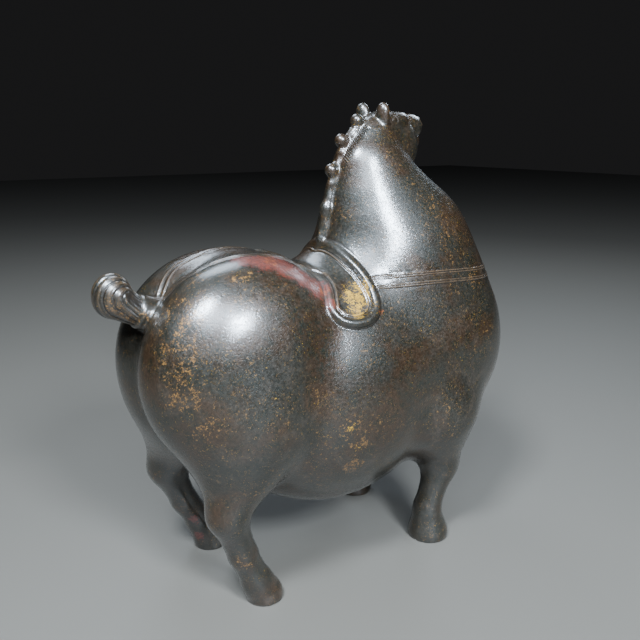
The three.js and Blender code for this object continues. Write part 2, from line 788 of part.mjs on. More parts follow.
function meshOf(solid, name, material) {
  const { vertProperties, triVerts } = solid.getMesh();
  const shape = new THREE.BufferGeometry();
  shape.setAttribute('position', new THREE.BufferAttribute(new Float32Array(vertProperties), 3));
  shape.setIndex(new THREE.BufferAttribute(new Uint32Array(triVerts), 1));
  shape.computeVertexNormals();
  const mesh = new THREE.Mesh(shape, material);
  mesh.name = name;
  return mesh;
}

// The origin is the middle of the box that the horse fills, on the floor
const horse = new THREE.Group();
const mesh = meshOf(thinOut(casting, TRIANGLES), 'horse', bronze);
mesh.geometry.computeBoundingBox();
const filled = mesh.geometry.boundingBox;
mesh.geometry.translate(-(filled.min.x + filled.max.x) / 2, 0, 0);
horse.add(mesh);

export default horse;
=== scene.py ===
# %% [markdown]
# # A cast bronze horse, in its patina
#
# The real thing is one hollow casting: a stout horse with a turned head, a knotted mane, a small
# saddle with straps and a docked tail rolled up like a snail shell. This lesson takes the plain
# faceted solid of the horse, gives it a fine skin, cuts the straps, locks and hatching into that
# skin, and then builds the bronze: a dark lacquer-like patina with ochre, gold and red breaks.

# %% Load the solid
import json
import math

import bpy
import numpy as np
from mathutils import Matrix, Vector, kdtree, noise

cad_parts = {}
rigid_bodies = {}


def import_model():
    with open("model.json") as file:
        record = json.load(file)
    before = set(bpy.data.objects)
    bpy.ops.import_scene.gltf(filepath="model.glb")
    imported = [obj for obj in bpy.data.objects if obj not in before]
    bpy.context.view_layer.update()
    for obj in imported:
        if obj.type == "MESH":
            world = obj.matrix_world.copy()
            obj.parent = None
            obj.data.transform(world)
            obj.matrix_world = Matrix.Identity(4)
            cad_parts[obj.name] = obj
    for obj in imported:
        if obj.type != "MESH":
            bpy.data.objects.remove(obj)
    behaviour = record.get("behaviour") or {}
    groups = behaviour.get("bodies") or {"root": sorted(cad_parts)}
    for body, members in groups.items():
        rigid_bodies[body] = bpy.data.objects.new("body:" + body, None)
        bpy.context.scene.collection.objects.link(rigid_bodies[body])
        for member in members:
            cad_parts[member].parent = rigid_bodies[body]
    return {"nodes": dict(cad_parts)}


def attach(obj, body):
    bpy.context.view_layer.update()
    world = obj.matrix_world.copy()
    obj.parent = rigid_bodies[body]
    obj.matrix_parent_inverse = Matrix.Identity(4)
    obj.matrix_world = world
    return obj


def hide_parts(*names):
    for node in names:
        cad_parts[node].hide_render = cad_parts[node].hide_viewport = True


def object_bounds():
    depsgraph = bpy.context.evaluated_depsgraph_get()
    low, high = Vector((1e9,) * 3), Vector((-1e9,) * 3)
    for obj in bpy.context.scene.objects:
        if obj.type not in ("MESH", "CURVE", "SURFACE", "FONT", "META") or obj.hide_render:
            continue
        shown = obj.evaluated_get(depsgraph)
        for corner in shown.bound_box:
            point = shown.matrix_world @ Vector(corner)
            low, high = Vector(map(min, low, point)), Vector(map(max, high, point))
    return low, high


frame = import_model()
cad_box = [list(corner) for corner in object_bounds()]
print("the solid's box in metres:", cad_box)

# %% [markdown]
# ## Where the eye is
#
# The sculpture was looked at from behind its right shoulder, from a little above and from close
# by. A camera can be dragged about until the view looks right, but a pinhole has few numbers, and
# one that is 15 degrees nose-down gives the four soles, the ears and the outline their places. So
# the camera stands where that pinhole was.

# %% Camera
MM = 0.001
SHIFT_X = -1.106  # the sizes below are counted from 1.1 mm behind the solid's origin
EYE_AZIMUTH = 34
EYE_DOWN = 15
EYE_AT = (-232.08, -346.93, 264.0)
SENSOR = 36
FOCAL_PIXELS = 700
PICTURE_PIXELS = 640

eye = bpy.data.cameras.new("eye")
eye.sensor_width = SENSOR
eye.lens = SENSOR * FOCAL_PIXELS / PICTURE_PIXELS
eye_object = bpy.data.objects.new("eye", eye)
bpy.context.scene.collection.objects.link(eye_object)
eye_object.location = ((EYE_AT[0] + SHIFT_X) * MM, EYE_AT[1] * MM, EYE_AT[2] * MM)
eye_object.rotation_euler = (math.radians(90 - EYE_DOWN), 0, math.radians(-EYE_AZIMUTH))
bpy.context.scene.camera = eye_object
print("camera with a lens of", round(eye.lens, 2), "mm")

# %% [markdown]
# ## The masses that the founder's wax was built from
#
# A stout horse like this is modelled from a few big eggs (rump, haunches, barrel, chest) and from
# tapering rods (neck, legs), all rubbed into each other with a thumb. Blender's metaballs can melt
# shapes like that, but their sizes can't be read off. The same thing can be said with distances:
# each egg or rod is a function that says how far a point is from its skin, and a soft union rubs
# two of them together. All sizes are millimetres.

# %% Eggs, rods and soft unions
TINY = 1e-6  # keeps a division from meeting a nought


def soft(a, b, k):
    h = np.maximum(k - np.abs(a - b), 0) / k
    return np.minimum(a, b) - h * h * k * 0.25


def egg(at, half, lean=0.0):
    a = math.radians(lean)
    turn = np.array([[math.cos(a), 0, math.sin(a)], [0, 1, 0], [-math.sin(a), 0, math.cos(a)]])
    half = np.array(half, float)
    at = np.array(at, float)

    def distance(p):
        q = (p - at) @ turn
        near = np.sqrt(((q / half) ** 2).sum(1))
        steep = np.sqrt(((q / half**2) ** 2).sum(1))
        return near * (near - 1) / np.maximum(steep, TINY)

    return distance


def rod(a, b, ra, rb, across=1.0):
    squash = np.array([1, across, 1])
    a = np.array(a, float)
    ab = (np.array(b, float) - a) / squash
    length2 = float(ab @ ab)
    taper = ra - rb
    side2 = length2 - taper**2

    def distance(p):
        q = (p - a) / squash
        along = q @ ab
        rest = along - length2
        x2 = ((q * length2 - along[:, None] * ab) ** 2).sum(1)
        y2 = along**2 * length2
        z2 = rest**2 * length2
        k = np.sign(taper) * taper**2 * x2
        body = (np.sqrt(x2 * side2 / length2) + along * taper) / length2 - ra
        body = np.where(np.sign(along) * side2 * y2 < k, np.sqrt(x2 + y2) / length2 - ra, body)
        return np.where(np.sign(rest) * side2 * z2 > k, np.sqrt(x2 + z2) / length2 - rb, body)

    return distance


def limb(stations, side, softness):
    places = [(x, side * y, z) for x, y, z, r in stations]
    radii = [r for x, y, z, r in stations]
    rods = [rod(places[i], places[i + 1], radii[i], radii[i + 1]) for i in range(len(places) - 1)]

    def distance(p):
        d = rods[0](p)
        for piece, k in zip(rods[1:], softness):
            d = soft(d, piece(p), k)
        return d

    return distance


print("eggs, rods and limbs are ready")

# %% [markdown]
# The trunk is four kinds of eggs, an egg is given as its middle and its half sizes, and a leg is a
# row of stations: x, y, z and radius. The left legs stand a few millimetres behind or before the
# right ones, so they have rows of their own.

# %% Trunk, neck and legs
RUMP = egg((-46.6, 0, 140.3), (51.2, 39.9, 59))
HAUNCHES = [egg((-59.4, side * 17.6, 138.8), (60.8, 39.9, 60.8), -12) for side in (-1, 1)]
BARREL = egg((4.5, 0, 114.1), (82.9, 64, 77.3))
CHEST = egg((80.1, 0, 132.3), (57.8, 56.7, 69.1), -8)
NECK = [(58.7, 0, 182.7, 56.4), (46.5, 0, 211.9, 35.9), (38.6, 0, 241.1, 25)]
NECK_ACROSS = 0.8
THIGH_RIGHT = (-61.5, 24.5, 110, 33.5)
THIGH_LEFT = (-69.3, 26.2, 114, 35.7)
SHOULDER = (67.3, 37.6, 90.4, 24.8)
FORE_RIGHT = [SHOULDER, (74.4, 36.4, 50.7, 9.9), (64, 36.4, 20, 8.2), (65.9, 36.4, 3, 13.4)]
FORE_LEFT = [SHOULDER, (71.8, 38.6, 50.7, 9.9), (59.8, 41, 20, 8.2), (61.5, 41.5, 3, 13)]
HOCK_RIGHT = (-82.2, 33.3, 61, 10.2)
HOCK_LEFT = (-89, 36.2, 63.4, 10.2)
HIND_RIGHT = [HOCK_RIGHT, (-72.9, 32.3, 33, 8), (-64.3, 32.3, 12.2, 8.8), (-59.3, 32.3, 2, 11.1)]
HIND_LEFT = [HOCK_LEFT, (-78.2, 36.9, 36.4, 8), (-67.7, 36.9, 18.9, 8.8), (-61, 36.9, 2, 11.1)]
FORE_RUB = (10, 5)
HIND_RUB = (4, 4)

neck_rods = [rod(a[:3], b[:3], a[3], b[3], NECK_ACROSS) for a, b in zip(NECK, NECK[1:])]
forelegs = [limb(FORE_RIGHT, -1, FORE_RUB), limb(FORE_LEFT, 1, FORE_RUB)]
thighs = [limb([THIGH_RIGHT, HOCK_RIGHT], -1, ()), limb([THIGH_LEFT, HOCK_LEFT], 1, ())]
shanks = [limb(HIND_RIGHT, -1, HIND_RUB), limb(HIND_LEFT, 1, HIND_RUB)]
print(len(forelegs + shanks), "legs laid out")

# %% Rub the body together
RUB = {"neck rods": 14, "chest": 30, "neck": 20.5, "forelegs": 20, "flank": 7}
RUB.update({"thigh": 20, "shank": 8, "cleft": 5, "rump": 10})


def body(p):
    neck = soft(neck_rods[0](p), neck_rods[1](p), RUB["neck rods"])
    front = soft(soft(BARREL(p), CHEST(p), RUB["chest"]), neck, RUB["neck"])
    front = soft(front, np.minimum(forelegs[0](p), forelegs[1](p)), RUB["forelegs"])
    hinds = [
        soft(soft(haunch(p), thigh(p), RUB["thigh"]), shank(p), RUB["shank"])
        for haunch, thigh, shank in zip(HAUNCHES, thighs, shanks)
    ]
    hind = soft(soft(hinds[0], hinds[1], RUB["cleft"]), RUMP(p), RUB["rump"])
    return soft(front, hind, RUB["flank"])


print("body:", body(np.array([[0.0, 0, 120]])).round(1)[0], "mm inside at its middle")

# %% [markdown]
# ## The head
#
# It could be sculpted where it is, but a turned head is hard to keep even. So it is built along
# its own line, from the poll forward, and the line is then turned 21 degrees to the left and
# tipped up a little. One half is enough: the other side is its mirror.

# %% Head
POLL = np.array([40, 0, 273.8])
HEAD_TURN = math.radians(21)
HEAD_TIP = math.radians(3.5)
SKULL = egg((7, 0, -12), (20, 12, 14))
NOSE = rod((14, 0, -10), (38, 0, -10), 11.5, 8.2, 0.85)
JOWL = egg((24, 5, -20.8), (16, 10.3, 15.2))
BROW = egg((19, 6.5, -3.5), (9, 5, 4.5))
MUZZLE = egg((43.8, 0, -9.2), (12, 9.2, 8.5))
CHIN = egg((45.6, 0, -18.5), (9.4, 6.6, 6))
EYEBALL = egg((10, 9, -3.6), (3.0, 1.7, 2.2))
NOSTRIL = egg((50, 6.4, -5.5), (2.4, 2, 1.8))
RUB.update({"nose": 6, "jowl": 5, "brow": 3, "muzzle": 3, "chin": 3})

turn_z = np.array(
    [
        [math.cos(HEAD_TURN), -math.sin(HEAD_TURN), 0],
        [math.sin(HEAD_TURN), math.cos(HEAD_TURN), 0],
        [0, 0, 1],
    ]
)
tip_y = np.array(
    [
        [math.cos(HEAD_TIP), 0, -math.sin(HEAD_TIP)],
        [0, 1, 0],
        [math.sin(HEAD_TIP), 0, math.cos(HEAD_TIP)],
    ]
)
HEAD_AXES = turn_z @ tip_y


def mirror_half(q):
    return np.stack([q[:, 0], np.abs(q[:, 1]), q[:, 2]], 1)


def head(q, half):
    d = soft(SKULL(q), NOSE(q), RUB["nose"])
    d = soft(d, JOWL(half), RUB["jowl"])
    d = soft(d, BROW(half), RUB["brow"])
    d = soft(d, MUZZLE(q), RUB["muzzle"])
    return soft(d, CHIN(q), RUB["chin"])


print("head turned", round(math.degrees(HEAD_TURN)), "degrees to the left")

# %% Ears and lips
EAR_AT = np.array([0.5, 6.5, -2.5])
EAR_LEAN = math.radians(6)
EAR_HALF = np.array([3.76, 4.7, 10.2])
EAR_LEAST_STEEP = 0.08
EAR_HOLLOW = egg((3.4, 0, 3.6), (2.3, 2.4, 4.2))
LIP_CORE = egg((42.5, 0, -14.5), (10.4, 6.4, 6))
LIPS_Z = -15.5
LIPS_FROM = 34
LIPS_RISE, LIPS_LONG = 1.5, 24
LIPS_PARTED = 0.55
LIPS_ENDS = (36, 60)
RUB["ear hollow"] = 1.2


def ear(half):
    q = half - EAR_AT
    c, s = math.cos(EAR_LEAN), math.sin(EAR_LEAN)
    q = np.stack([q[:, 0], q[:, 1] * c - q[:, 2] * s, q[:, 1] * s + q[:, 2] * c], 1)
    u = q / EAR_HALF
    near = u[:, 0] ** 2 + u[:, 1] ** 2 + np.abs(u[:, 2]) ** 3
    flat2 = (2 * u[:, 0] / EAR_HALF[0]) ** 2 + (2 * u[:, 1] / EAR_HALF[1]) ** 2
    steep = np.sqrt(flat2 + (3 * u[:, 2] ** 2 / EAR_HALF[2]) ** 2)
    shell = (near - 1) / np.maximum(steep, EAR_LEAST_STEEP)
    return -soft(-shell, EAR_HOLLOW(q), RUB["ear hollow"])


def lips(q):
    line = np.abs(q[:, 2] - LIPS_Z - (q[:, 0] - LIPS_FROM) * LIPS_RISE / LIPS_LONG) - LIPS_PARTED
    ends = np.maximum(LIPS_ENDS[0] - q[:, 0], q[:, 0] - LIPS_ENDS[1])
    return np.maximum(np.maximum(line, ends), -LIP_CORE(q))


print("the ears stand", 2 * EAR_HALF[2], "mm high")

# %% [markdown]
# ## Mane and tail
#
# The mane is hogged: a low crest with four round knots. The tail is a cuffed dock and a curl. Both
# sit on the middle plane, so their sizes are given as x and z.

# %% Mane
KNOTS = [(6.4, 220, 4.1), (10, 242.4, 4), (17, 259.4, 4), (28.4, 270.8, 4)]
CREST = [(2, 203), (6, 222), (11.5, 242), (19, 258), (30, 270)]
CREST_RADIUS = 3.3
CREST_SUNK = 1.1
RUB.update({"crest": 1, "knot": 1.6})

crest_way = np.gradient(np.array(CREST, float), axis=0)
crest_way /= np.linalg.norm(crest_way, axis=1)[:, None]
crest_core = np.array(CREST) + CREST_SUNK * crest_way[:, [1, 0]] * [1, -1]
knots = [egg((x, 0, z), (r, r, r)) for x, z, r in KNOTS]
crest = [
    rod((a[0], 0, a[1]), (b[0], 0, b[1]), CREST_RADIUS, CREST_RADIUS)
    for a, b in zip(crest_core, crest_core[1:])
]


def mane(p):
    d = crest[0](p)
    for piece in crest[1:]:
        d = soft(d, piece(p), RUB["crest"])
    for knot in knots:
        d = soft(d, knot(p), RUB["knot"])
    return d


print(len(KNOTS), "knots on the mane")

# %% Tail
DOCK_FROM = np.array([-97, 0, 168.0])
DOCK_TO = np.array([-114.5, 0, 174.3])
DOCK_RADIUS = 9.2
TAIL_ROOT_FROM = (-106, 0, 171)
TAIL_ROOT_TO = (-117, 0, 176)
TAIL_ROOT_RADIUS = 8
TAIL_ROOT = rod(TAIL_ROOT_FROM, TAIL_ROOT_TO, TAIL_ROOT_RADIUS, TAIL_ROOT_RADIUS)
CURL_AT = (-125.8, 0, 183.5)
CURL_HALF = (10.2, 9.6, 11.7)
CURL = egg(CURL_AT, CURL_HALF)
CURL_EYE = (-118.0, 183.5)
RUB.update({"tail root": 5, "cuff edge": 3})


def tail_hull(p):
    return soft(CURL(p), TAIL_ROOT(p), RUB["tail root"])


def cuff(p):
    way = DOCK_TO - DOCK_FROM
    long = np.linalg.norm(way)
    way = way / long
    along = (p - DOCK_FROM) @ way
    out = np.linalg.norm(p - DOCK_FROM - along[:, None] * way, axis=1) - DOCK_RADIUS
    return -soft(-out, -(np.abs(along - long / 2) - long / 2), RUB["cuff edge"])


print("the dock is", round(float(np.linalg.norm(DOCK_TO - DOCK_FROM)), 1), "mm long")

# %% [markdown]
# ## Lines that lie on the skin
#
# The saddle's rim, the breast strap and the crupper straps follow the body. A shrinkwrapped curve
# would do, but it needs the finished mesh. Here each is drawn as a line in the air and dropped
# onto the skin by walking towards it until the distance is nothing.

# %% Tools for lines
SPLINE_STEPS = 24
WALK_ROUNDS = 80
WALK_SHARE = 0.8


def ramp(value, start, over):
    return np.clip((value - start) / over, 0, 1)


def fade(value, end, over):
    return np.clip((end - value) / over, 0, 1)


def spline(rows, count):
    rows = np.array(rows, float)
    wide = np.vstack([2 * rows[0] - rows[1], rows, 2 * rows[-1] - rows[-2]])
    t = np.linspace(0, 1, SPLINE_STEPS, endpoint=False)[:, None]
    parts = []
    for a, b, c, d in zip(wide, wide[1:], wide[2:], wide[3:]):
        square = (2 * a - 5 * b + 4 * c - d) * t**2
        cube = (3 * b - a - 3 * c + d) * t**3
        parts.append(0.5 * (2 * b + (c - a) * t + square + cube))
    line = np.vstack(parts + [rows[-1:]])
    run = np.concatenate([[0], np.cumsum(np.linalg.norm(np.diff(line, axis=0), axis=1))])
    at = np.linspace(0, run[-1], count + 1)
    return np.stack([np.interp(at, run, line[:, k]) for k in range(line.shape[1])], 1)


def meet(start, way):
    p = np.array(start, float)
    for _ in range(WALK_ROUNDS):
        p = p + way * body(p)[:, None] * WALK_SHARE
    return p


def slope(field, p, step=0.3):
    corners = np.array([[1, -1, -1], [-1, -1, 1], [-1, 1, -1], [1, 1, 1]], float)
    return sum(corner * field(p + corner * step)[:, None] for corner in corners) / (4 * step)


print("tools for lines are ready")

# %% [markdown]
# The rim runs down from the cantle, round the half-round flap and up to the pommel. It is given as
# places along the back and degrees down the side, for one half, and it stands prouder on the flap
# than on the back.

# %% The saddle's rim
BACK_AXIS_Z = 120
SADDLE_EDGE = [(0, -40, 1), (9, -26, 3.5), (18, -15.5, 6.5), (26, -14, 9.5), (34, -17, 11)]
FLAP_X = -4.2
FLAP_DOWN = 38.5
FLAP_RADIUS = 14.9
FLAP_FROM_AXIS = 75
FLAP_OPENING = 0.2
FLAP_STEPS = 12
RIM_RADIUS = 2.7
RIM_POINTS = 96
RIM_IN_AIR = 110
RIM_PROUD, RIM_PROUDER = 0.8, 2.1
RIM_RISE_FROM, RIM_RISE_OVER = 12, 20
RIM_NORMAL_STEP = 1.2


def saddle_rim():
    rows = [(rear, down) for down, rear, front in SADDLE_EDGE]
    for i in range(1, FLAP_STEPS):
        a = math.pi + FLAP_OPENING - (math.pi + 2 * FLAP_OPENING) * i / FLAP_STEPS
        below = math.degrees(FLAP_RADIUS * math.sin(a) / FLAP_FROM_AXIS)
        rows.append((FLAP_X + FLAP_RADIUS * math.cos(a), FLAP_DOWN + below))
    rows += [(front, down) for down, rear, front in reversed(SADDLE_EDGE)]
    half = spline(rows, RIM_POINTS)
    places, proud = [], []
    for side, part in ((-1, half), (1, half[-2:0:-1])):
        down = np.radians(part[:, 1])
        way = np.stack([0 * down, -side * np.sin(down), -np.cos(down)], 1)
        start = np.stack([part[:, 0], 0 * down, 0 * down + BACK_AXIS_Z], 1) - way * RIM_IN_AIR
        places.append(meet(start, way))
        proud.append(RIM_PROUD + RIM_PROUDER * ramp(part[:, 1], RIM_RISE_FROM, RIM_RISE_OVER))
    places = np.vstack(places)
    normal = slope(body, places, RIM_NORMAL_STEP)
    normal /= np.linalg.norm(normal, axis=1)[:, None]
    return places, normal, places + normal * (np.concatenate(proud) - RIM_RADIUS)[:, None]


rim_line, rim_normal, rim_core = saddle_rim()
print("the rim lies on the skin in", len(rim_line), "points")

# %% Breast strap and crupper straps
BREAST_AXIS_X = 60
BREAST_START = math.radians(142)
BREAST_POINTS = 161
BREAST_Z, BREAST_DIP, BREAST_LIFT = 179.5, 3.5, 3.25
BREAST_IN_AIR = 120
CRUPPER = [(-100, 2.5), (-93.5, 8), (-86, 11.5), (-70, 12.5), (-56, 14.5), (-42, 15), (-25, 14)]
CRUPPER_POINTS = 80
CRUPPER_IN_AIR = 290

around = np.linspace(BREAST_START, -BREAST_START, BREAST_POINTS)
front_share = np.cos(around / 2) ** 2
heights = BREAST_Z - BREAST_DIP * front_share + BREAST_LIFT * np.sin(around) ** 2
inward = np.stack([-np.cos(around), -np.sin(around), 0 * around], 1)
axis = np.stack([0 * around + BREAST_AXIS_X, 0 * around, heights], 1)
breast_line = meet(axis - inward * BREAST_IN_AIR, inward)

crupper_rows = spline(CRUPPER, CRUPPER_POINTS)
crupper_lines = []
for side in (-1, 1):
    x, y = crupper_rows.T
    above = np.stack([x, side * y, 0 * x + CRUPPER_IN_AIR], 1)
    crupper_lines.append(meet(above, np.array([0, 0, -1.0])))
print("the straps lie on the skin in", len(breast_line), "and", len(crupper_rows), "points")

# %% [markdown]
# ## One skin over everything
#
# `skin` says how far any point is from the whole casting. The rim is a round roll along its line,
# and the nostrils and the parting of the lips are taken away again. Under the tail's locks the
# casting stops a little short, because the locks are a mesh of their own.

# %% A roll along a line
ROLL_REACH = 12
POINTS_AT_ONCE = 4000


def roll(p, line, radius):
    d = np.full(len(p), float(ROLL_REACH))
    low, high = line.min(0) - ROLL_REACH, line.max(0) + ROLL_REACH
    near = np.nonzero(((p > low) & (p < high)).all(1))[0]
    closed = np.vstack([line, line[:1]])
    a, ab = closed[:-1], np.diff(closed, axis=0)
    length2 = (ab**2).sum(1)
    for part in np.array_split(near, len(near) // POINTS_AT_ONCE + 1):
        q = p[part][:, None, :] - a[None]
        t = np.clip((q * ab).sum(2) / length2, 0, 1)
        d[part] = np.sqrt(((q - t[:, :, None] * ab) ** 2).sum(2)).min(1)
    return d - radius


print("a roll is felt from", ROLL_REACH, "mm away")

# %% The whole skin
TAIL_UNDER = 1.6
RUB.update({"head": 6, "ear": 1.5, "eye": 0.6, "mane": 1.2, "cuff": 2, "tail": 1, "rim": 1.2})
RUB.update({"nostril": 0.8, "lips": 0.5, "sole": 0.8})
LEAST_SLOPE = 0.25
LONGEST_MOVE = 3


def skin(p):
    q = (p - POLL) @ HEAD_AXES
    half = mirror_half(q)
    d = soft(body(p), head(q, half), RUB["head"])
    d = soft(d, ear(half), RUB["ear"])
    d = soft(d, EYEBALL(half), RUB["eye"])
    d = soft(d, mane(p), RUB["mane"])
    d = soft(d, cuff(p), RUB["cuff"])
    d = soft(d, tail_hull(p) + TAIL_UNDER, RUB["tail"])
    d = soft(d, roll(p, rim_core[::2], RIM_RADIUS), RUB["rim"])
    d = -soft(-d, NOSTRIL(half), RUB["nostril"])
    d = -soft(-d, lips(q), RUB["lips"])
    return -soft(-d, p[:, 2], RUB["sole"])


def settle(field, p, rounds):
    for _ in range(rounds):
        g = slope(field, p)
        move = g * (-field(p) / np.maximum((g**2).sum(1), LEAST_SLOPE))[:, None]
        far = np.linalg.norm(move, axis=1)
        p = p + move * np.minimum(1, LONGEST_MOVE / np.maximum(far, TINY))[:, None]
    return p


def outward(field, p):
    g = slope(field, p)
    return g / np.maximum(np.linalg.norm(g, axis=1), TINY)[:, None]


at_eye = skin(np.array([[CURL_EYE[0], 0, CURL_EYE[1]]]))
print("skin at the eye of the curl:", at_eye.round(2)[0], "mm")

# %% [markdown]
# ## From the solid to a fine mesh
#
# The solid has long flat triangles, which is right for a simulation but not for polish. Subdividing
# them would keep their long edges in the shine. So a copy of it is merged, remeshed into small even
# squares, smoothed, and then every point is walked onto the skin. That keeps the solid's size and
# closes the mesh, and the skin takes all facets away.

# %% Read and write points in millimetres
SHIFT = np.array([SHIFT_X, 0, 0])


def read_points(mesh):
    co = np.empty(3 * len(mesh.vertices))
    mesh.vertices.foreach_get("co", co)
    return co.reshape(-1, 3) / MM - SHIFT


def write_points(mesh, p):
    mesh.vertices.foreach_set("co", ((p + SHIFT) * MM).ravel())
    mesh.update()


print("points are shifted by", SHIFT_X, "mm")

# %% Copy, merge and remesh
VOXEL = 3.35
MERGE_WITHIN = 0.000001
SMOOTHING = 0.5
EARS_KEPT = 3


def only(obj):
    bpy.ops.object.select_all(action="DESELECT")
    obj.select_set(True)
    bpy.context.view_layer.objects.active = obj


def relax(obj, rounds):
    before = read_points(obj.data)
    only(obj)
    bpy.ops.object.mode_set(mode="EDIT")
    bpy.ops.mesh.select_mode(type="VERT")
    bpy.ops.mesh.select_all(action="SELECT")
    bpy.ops.mesh.vertices_smooth(factor=SMOOTHING, repeat=rounds)
    bpy.ops.object.mode_set(mode="OBJECT")
    # the ears would shrink to spikes
    thin = ear(mirror_half((before - POLL) @ HEAD_AXES)) < EARS_KEPT
    write_points(obj.data, np.where(thin[:, None], before, read_points(obj.data)))


def even_squares(obj, voxel):
    only(obj)
    remesh = obj.modifiers.new("even squares", "REMESH")
    remesh.mode = "VOXEL"
    remesh.voxel_size = voxel * MM
    bpy.ops.object.modifier_apply(modifier=remesh.name)
    relax(obj, 3)
    print(obj.name, "has", len(obj.data.polygons), "even squares")


casting = bpy.data.objects.new("horse_casting", frame["nodes"]["horse"].data.copy())
bpy.context.scene.collection.objects.link(casting)
only(casting)
bpy.ops.object.mode_set(mode="EDIT")
bpy.ops.mesh.select_all(action="SELECT")
bpy.ops.mesh.remove_doubles(threshold=MERGE_WITHIN)
bpy.ops.object.mode_set(mode="OBJECT")
even_squares(casting, VOXEL)

# %% Settle the squares
write_points(casting.data, settle(skin, read_points(casting.data), 4))
print("settled onto the skin")

# %% [markdown]
# ## More squares where there is work to see
#
# Straps, rim, mane, face and hooves need a finer mesh than the broad flanks. The faces near them
# are picked by their distance to the lines and divided, three times over, each time in a narrower
# zone. The points are relaxed and settled after each time, so that they stay evenly spread.

# %% Distances to the lines
def nearest(p, line):
    finder = kdtree.KDTree(len(line))
    for i, place in enumerate(line):
        finder.insert(place, i)
    finder.balance()
    found = [finder.find(point) for point in p]
    return np.array([f[2] for f in found]), np.array([f[1] for f in found])


crest_line = spline([(x, 0, z) for x, z in CREST], 240)
breast_strap = spline(breast_line[::4], 600)
crupper_straps = np.vstack([spline(line[::4], 160) for line in crupper_lines])
rim_way = np.roll(rim_line, -1, axis=0) - np.roll(rim_line, 1, axis=0)
rim_inward = np.cross(rim_normal, rim_way)
rim_inward *= np.sign(rim_inward[0, 0]) / np.linalg.norm(rim_inward, axis=1)[:, None]


def into_seat(p):
    i = nearest(p, rim_line)[1]
    return ((p - rim_line[i]) * rim_inward[i]).sum(1)


print("rim inward at the cantle:", rim_inward[0].round(2))

# %% Where to divide
FACE_FROM, FACE_TO = -4, 70
FACE_LOW = -38
FACE_SIDE = 22
MUZZLE_FROM = 32
ZONE_STRAP = (7, 5, 4.1)
ZONE_CRUPPER = (5.5, 3.8, 2.6)
ZONE_CREST = (12, 9.5, 9.5)
ZONE_CREST_ABOVE = (200, 215, 242)
ZONE_RIM = (7.5, 6, 5.6)
ZONE_HOOF = (20, 3, -1)
ZONE_CUFF = (4, 2)
ZONE_EAR = (3, 2, 1)
ZONE_EYE = (4, 2)
ZONE_NOSTRIL = 2
ZONE_LIPS = 1.2
RIM_TOP = 6
RIM_BEAD_FROM = 2.4


def on_face(q):
    along = (q[:, 0] > FACE_FROM) & (q[:, 0] < FACE_TO)
    return along & (q[:, 2] > FACE_LOW) & (np.abs(q[:, 1]) < FACE_SIDE)


def zone(p, turn):
    on_strap = nearest(p, breast_strap)[0] < ZONE_STRAP[turn]
    on_strap |= nearest(p, crupper_straps)[0] < ZONE_CRUPPER[turn]
    to_rim = nearest(p, rim_line)[0]
    q = (p - POLL) @ HEAD_AXES
    half = mirror_half(q)
    chosen = on_strap | (to_rim < ZONE_RIM[turn]) | (p[:, 2] < ZONE_HOOF[turn])
    on_crest = nearest(p, crest_line)[0] < ZONE_CREST[turn]
    chosen |= on_crest & (p[:, 2] > ZONE_CREST_ABOVE[turn])
    on_ear = ear(half) < ZONE_EAR[turn]
    if turn == 0:
        chosen |= on_face(q) | (cuff(p) < ZONE_CUFF[0]) | on_ear
    if turn == 1:
        chosen |= (cuff(p) < ZONE_CUFF[1]) | (EYEBALL(half) < ZONE_EYE[0])
        chosen |= (q[:, 0] > MUZZLE_FROM) & on_face(q) | on_ear
    if turn == 2:
        chosen |= (EYEBALL(half) < ZONE_EYE[1]) | (NOSTRIL(half) < ZONE_NOSTRIL)
        chosen |= (np.abs(lips(q)) < ZONE_LIPS) & (q[:, 0] > LIPS_FROM)
        chosen |= on_ear & (half[:, 2] > -1)
        # the roll itself is smooth, and takes no finer squares
        inside = into_seat(p)
        chosen &= (to_rim > RIM_TOP) | (inside > RIM_BEAD_FROM) | on_strap & (inside < -1)
    return chosen


print("the zones narrow from", ZONE_STRAP[0], "to", ZONE_STRAP[2], "mm beside the breast strap")

# %% Divide three times
def divide(obj, chosen):
    mesh = obj.data
    first = np.empty(len(mesh.polygons), int)
    mesh.polygons.foreach_get("loop_start", first)
    vertex = np.empty(len(mesh.loops), int)
    mesh.loops.foreach_get("vertex_index", vertex)
    mesh.vertices.foreach_set("select", np.zeros(len(mesh.vertices), bool))
    mesh.edges.foreach_set("select", np.zeros(len(mesh.edges), bool))
    mesh.polygons.foreach_set("select", chosen[vertex[first]])
    only(obj)
    bpy.ops.object.mode_set(mode="EDIT")
    bpy.ops.mesh.select_mode(type="FACE")
    bpy.ops.mesh.subdivide(number_cuts=1)
    bpy.ops.object.mode_set(mode="OBJECT")
    relax(obj, 1)


for turn in (0, 1, 2):
    divide(casting, zone(read_points(casting.data), turn))
    write_points(casting.data, settle(skin, read_points(casting.data), 2))
    print("after division", turn + 1, "it has", len(casting.data.polygons), "faces")

# %% [markdown]
# ## Chasing: lines that are raised or cut after the cast
#
# The founder chased the wax with small tools: a pair of thin beads along each edge of the straps, a
# bead inside the saddle's rim, hatching beside the crest. A bump map could draw them, but then they
# would be missing from the mesh. So each tool mark is a small height that depends on the distance
# to its line: where it lies, how wide it is to one side, and its share. The same numbers say where
# metal stands proud, and gets rubbed bright, and where it lies deep, and is painted darker, so both
# are stored.

# %% Tool marks
STRAP_BEADS = [(3.5, 0.6, 1), (2.2, 0.55, 1)]
STRAP_GROOVES = [(2.85, 0.45, 1), (4.3, 0.6, 1), (1.6, 0.5, 0.5)]
STRAP_EDGE, STRAP_EDGE_FADE = 4.1, 0.8
CRUPPER_BEADS = [(1.75, 0.6, 1)]
CRUPPER_GROOVES = [(0, 1.1, 1), (2.7, 0.6, 0.7)]


def mark(t):
    return np.clip(1 - t * t, 0, None) ** 2


